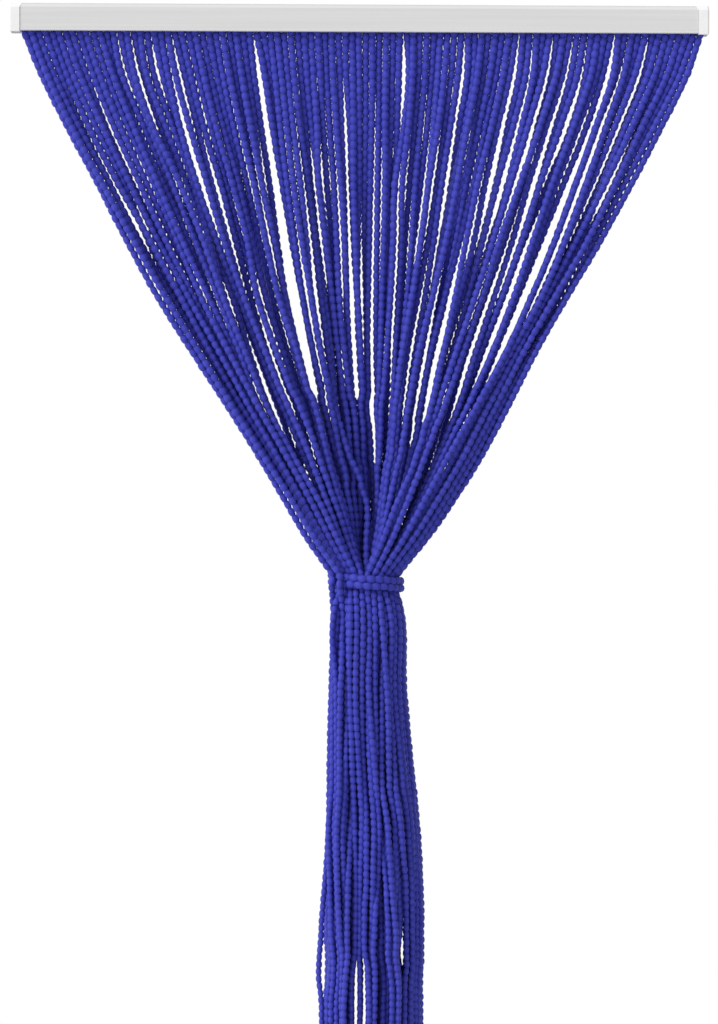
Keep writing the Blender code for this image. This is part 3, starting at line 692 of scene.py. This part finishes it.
# The tie's rings: square to the helix, upright and outwards from the bundle's middle. The whole number of
# beads nearest to the run over the pitch shares out the run. Rings and corners are handed over backwards,
# which doesn't turn the faces: those of the tie point inwards
def tieRings(line):
    shape = tieShape
    sides, shares = shape["sides"], np.array(shape["rings"])
    step, along = measureLine(line)
    run = step.sum()
    beads = round(run / shape["pitch"])
    at = np.concatenate([(np.arange(beads)[:, None] + shares).ravel(), [beads]]) / beads * run
    centre = sampleAlong(at, along, line)
    out = centre - np.array([shape["middle"], stripShape["row"], 0.0])
    out[:, 2] = 0
    out /= np.linalg.norm(out, axis=1)[:, None]
    t = np.concatenate([np.tile(shares, beads), [0.0]])
    profile = beadProfile(t, shape["neck"])
    half = 0.5 * shape["width"] * profile
    rng = np.random.default_rng(shape["seed"])
    jog = np.repeat(rng.uniform(-1, 1, (beads, 2)), len(shares), axis=0) * np.sin(np.pi * t[:-1])[:, None]
    up = np.array([0.0, 0.0, 1.0])
    centre[:-1] += shape["jog"] * (jog[:, :1] * up + shape["jogOut"] * jog[:, 1:] * out[:-1])
    angle = 2 * np.pi * np.arange(sides) / sides
    upright = np.broadcast_to(up, out.shape)
    points = ringCorners(centre, half, shape["flat"] * np.cos(angle), out, np.sin(angle), upright)
    tint = np.repeat(np.clip(rng.normal(*shape["tint"], beads), 0, 1), len(shares))
    tint = np.append(tint, shape["tint"][0])
    # the crown sets where the painted shade at the tie beads' necks falls
    crown = (profile - shape["neck"]) / (1 - shape["neck"])
    return points[::-1], np.repeat(crown, sides)[::-1], np.repeat(tint, sides)[::-1], len(at), sides


strip = buildStrip()
strands = buildStrands()
tie = buildTie()
for piece in [strip, *strands]:
    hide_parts("strand_curtain")
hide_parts("tie")
print("stage: strands and tie made")


# Rail

mm = 0.001

railShape = {
    "half": 0.4362,                         # half length of the rail at its foot
    "lap": 0.0032,                          # how much further in the joint stands at the slope's head
    "height": 0.0360,
    "front": -0.0160,
    "back": 0.0100,
    "wall": 0.0015,
    "slot": 0.0140,
    "slopeRun": 0.0068,
    "slopeDrop": 0.0062,
    "slopeEdge": 0.0003,                    # the front face starts this far below the slope
    "innerBend": 0.0003,                    # the front wall is this much thicker than the others
    "groove": ((1.5, 0.0), (1.62, -0.32), (1.98, -0.32), (2.1, 0.0)),     # along the slope and out of it, mm
    "ridge": ((7.7, 0.0), (7.95, 0.20), (8.3, 0.30), (8.7, 0.26), (9.05, 0.10)),
    "lip": (                                # height, and how far out of the front face
        (-0.0336, 0.0), (-0.0339, 0.00030), (-0.0352, 0.00034), (-0.0358, 0.00016),
    ),
    "lipFoot": 0.0002,                      # the lip's foot stands this far behind the front face
    "round": 0.0004,
    "slotRound": 0.0005,
}


# How far in the joint between rail and cap stands at a place: nothing below the slope and at the back,
# growing evenly up the slope and, on the top face, evenly to the front
def jointLap(y, z):
    shape = railShape
    up = np.clip((z + shape["slopeDrop"]) / shape["slopeDrop"], 0, 1)
    ahead = np.clip((shape["back"] - y) / (shape["back"] - shape["front"] - shape["slopeRun"]), 0, 1)
    return shape["lap"] * up * ahead


# Moves the corners of a piece along the rail, each to a place worked out from its own
def moveCorners(piece, place):
    points = np.empty(len(piece.data.vertices) * 3, np.float32)
    piece.data.vertices.foreach_get("co", points)
    points = points.reshape(-1, 3)
    points[:, 0] = place(*points.T)
    piece.data.vertices.foreach_set("co", points.ravel())
    piece.data.update()


# The rail's closed outline: back, top, slope with its groove and ridge, front with its lip, slot, and the
# inside. A place on the slope is its head plus a run down the slope plus a reach square to it
def buildRail():
    shape = railShape
    front, back, wall, foot = shape["front"], shape["back"], shape["wall"], -shape["height"]
    head = np.array([front + shape["slopeRun"], 0.0])
    down = np.array([-shape["slopeRun"], -shape["slopeDrop"]])
    down /= np.linalg.norm(down)
    out = np.array([down[1], -down[0]])
    relief = shape["groove"] + shape["ridge"]
    slope = [tuple(head + mm * (along * down + proud * out)) for along, proud in relief]
    lip = [(front - proud, z) for z, proud in shape["lip"]]
    middle = (front + back) / 2
    slotFront, slotBack = middle - shape["slot"] / 2, middle + shape["slot"] / 2
    bend = front + wall + shape["innerBend"]
    edge = -shape["slopeDrop"] - shape["slopeEdge"]
    outer = [(back, foot), (back, 0.0), tuple(head), *slope, (front, edge), *lip,
             (front + shape["lipFoot"], foot), (slotFront, foot)]
    inner = [(slotFront, foot + wall), (bend, foot + wall), (bend, -shape["slopeDrop"]),
             (front + shape["slopeRun"], -wall), (back - wall, -wall), (back - wall, foot + wall),
             (slotBack, foot + wall), (slotBack, foot)]
    slotEdges = [shape["slotRound"]] * 2    # at each side of the slot
    radii = [shape["round"]] * 3 + [0] * (len(outer) - 4) + slotEdges + [0] * (len(inner) - 3) + slotEdges
    outline = roundCorners(outer + inner, radii)
    rail = extrudeOutline("painted_rail", outline, -shape["half"], shape["half"], railPaint)
    moveCorners(rail, lambda x, y, z: x - np.sign(x) * jointLap(y, z))
    return rail


# End caps

capShape = {
    "mouth": 0.4365,                        # place of the caps' mouths along the rail
    "near": 1e-4,                           # corners this close to it are drawn in
    "merge": 1e-6,
    "flat": 0.01,                           # faces that turn less than this, in radians, become one
    "bevel": 0.00035,
    "segments": 2,
    "sharp": 40,                            # degrees from which an edge is broken
}


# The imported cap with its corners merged, its mouth drawn in over the slope, and its edges broken
def buildCap(node, name):
    shape = capShape
    cap = bpy.data.objects.new(name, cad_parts[node].data.copy())
    bpy.context.scene.collection.objects.link(cap)
    shell = bmesh.new()
    shell.from_mesh(cap.data)
    bmesh.ops.remove_doubles(shell, verts=shell.verts, dist=shape["merge"])
    bmesh.ops.dissolve_limit(shell, angle_limit=shape["flat"], verts=shell.verts, edges=shell.edges)
    shell.to_mesh(cap.data)
    shell.free()
    moveCorners(cap, lambda x, y, z: np.where(np.abs(np.abs(x) - shape["mouth"]) < shape["near"],
                                              x - np.sign(x) * jointLap(y, z), x))
    cap.data.materials.clear()
    cap.data.materials.append(capPlastic)
    edges = cap.modifiers.new("broken edges", "BEVEL")
    edges.width = shape["bevel"]
    edges.segments = shape["segments"]
    edges.limit_method = "ANGLE"
    edges.angle_limit = np.radians(shape["sharp"])
    return cap


rail = buildRail()
caps = [buildCap("end_cap_left", "cap_left"), buildCap("end_cap_right", "cap_right")]
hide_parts("rail")
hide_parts("end_cap_left")
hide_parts("end_cap_right")
pieces = [strip, *strands, tie, rail, *caps]
for piece in pieces:
    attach(piece, "root")
print("stage: rail and caps made")


# Studio

studio = {
    "distance": 4.40,                       # of the camera, in front of the row of strands
    "axis": (0.0030, -0.6534),              # its place along the rail and its height
    "roll": -0.0050,
    "lens": 120.0,
    "sensor": 36.0,
    "keyTurn": (0.97, 0.0, -0.98),
    "keyPower": 1.80,
    "keySoft": 0.6,
    "white": (1, 1, 1, 1),
    "worldPower": (1.08, 0.40),             # from the left and from the right
    "floor": -2.03,
    "floorRadius": 1.7,
    "floorSides": 96,
    "floorColour": (0.86, 0.86, 0.86, 1),
    "floorRoughness": 0.6,
    "floorSpecular": 0.3,
}


# Camera, one soft key light, a world that is brighter from the left and plain white behind, and a round
# floor
def buildStudio():
    scene = bpy.context.scene
    camera = bpy.data.objects.new("camera", bpy.data.cameras.new("camera"))
    camera.data.sensor_width = studio["sensor"]
    camera.data.lens = studio["lens"]
    camera.location = (studio["axis"][0], stripShape["row"] - studio["distance"], studio["axis"][1])
    camera.rotation_euler = (np.pi / 2, studio["roll"], 0)
    scene.collection.objects.link(camera)
    scene.camera = camera
    key = bpy.data.objects.new("key", bpy.data.lights.new("key", "SUN"))
    key.data.energy = studio["keyPower"]
    key.data.angle = studio["keySoft"]
    key.rotation_euler = studio["keyTurn"]
    scene.collection.objects.link(key)
    world = bpy.data.worlds.new("studio")
    world.use_nodes = True
    nodes, links = world.node_tree.nodes, world.node_tree.links
    nodes["Background"].inputs["Color"].default_value = studio["white"]
    place = nodes.new("ShaderNodeTexCoord")
    axes = nodes.new("ShaderNodeSeparateXYZ")
    links.new(place.outputs["Generated"], axes.inputs["Vector"])
    fill = addRange(nodes, links, axes.outputs["X"], *studio["worldPower"], -1.0, 1.0)
    links.new(fill, nodes["Background"].inputs["Strength"])
    backdrop = nodes.new("ShaderNodeBackground")          # what shows behind the object
    backdrop.inputs["Color"].default_value = studio["white"]
    path = nodes.new("ShaderNodeLightPath")
    choose = nodes.new("ShaderNodeMixShader")
    links.new(path.outputs["Is Camera Ray"], choose.inputs["Fac"])
    links.new(nodes["Background"].outputs["Background"], choose.inputs[1])
    links.new(backdrop.outputs["Background"], choose.inputs[2])
    links.new(choose.outputs["Shader"], nodes["World Output"].inputs["Surface"])
    scene.world = world
    scene.view_settings.view_transform = "Standard"
    count = studio["floorSides"]
    angle = 2 * np.pi * np.arange(count) / count
    rim = np.stack([np.cos(angle), np.sin(angle), np.zeros(count)], 1) * studio["floorRadius"]
    rim[:, 2] = studio["floor"]
    material = startMaterial("pale_floor", studio["floorColour"], studio["floorRoughness"],
                             studio["floorSpecular"])[0]
    floor = meshFromArrays("floor", rim, np.arange(count), [count], material, smooth=False)


buildStudio()
print("stage: studio made")

counts = {piece.name: sum(len(face.vertices) - 2 for face in piece.data.polygons) for piece in pieces}
print("triangles:", sum(counts.values()), counts)
